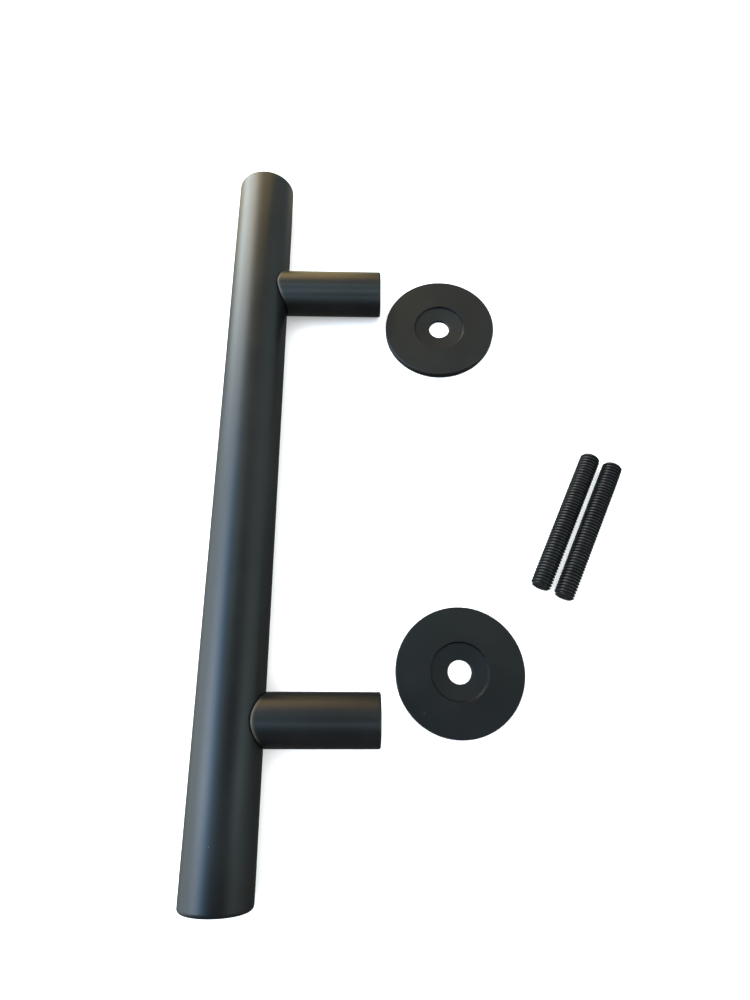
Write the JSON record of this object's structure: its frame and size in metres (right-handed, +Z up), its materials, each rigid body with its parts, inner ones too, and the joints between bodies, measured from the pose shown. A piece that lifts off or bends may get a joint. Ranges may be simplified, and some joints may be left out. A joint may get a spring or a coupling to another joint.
{
  "type": "back-to-back door pull handle",
  "caption": "Round T-bar door pull with coped posts tapped for fixing studs, laid out with its loose roses and studs for back-to-back fixing through a door.",
  "frame": {"origin": "on the table, in the middle of everything that lies on it", "axes": "+Y along the bar towards its upper end, +X from the bar towards the door side of the posts, +Z up from the table"},
  "size_m": [0.1654, 0.3, 0.025],
  "materials": {
    "black_coat": "satin black coat",
    "black_steel": "black oxide",
    "plated_steel": "bright zinc plate"
  },
  "bodies": {
    "root": {"fixing_studs": "black_steel", "grip_tube": "black_coat", "grub_screws": "black_steel", "lower_end_plug": "black_coat", "lower_post": "black_coat", "lower_rose": "black_coat", "lower_saddle_nut": "plated_steel", "lower_threaded_bush": "plated_steel", "post_screws": "black_steel", "upper_end_plug": "black_coat", "upper_post": "black_coat", "upper_rose": "black_coat", "upper_saddle_nut": "plated_steel", "upper_threaded_bush": "plated_steel"}
  },
  "joints": []
}
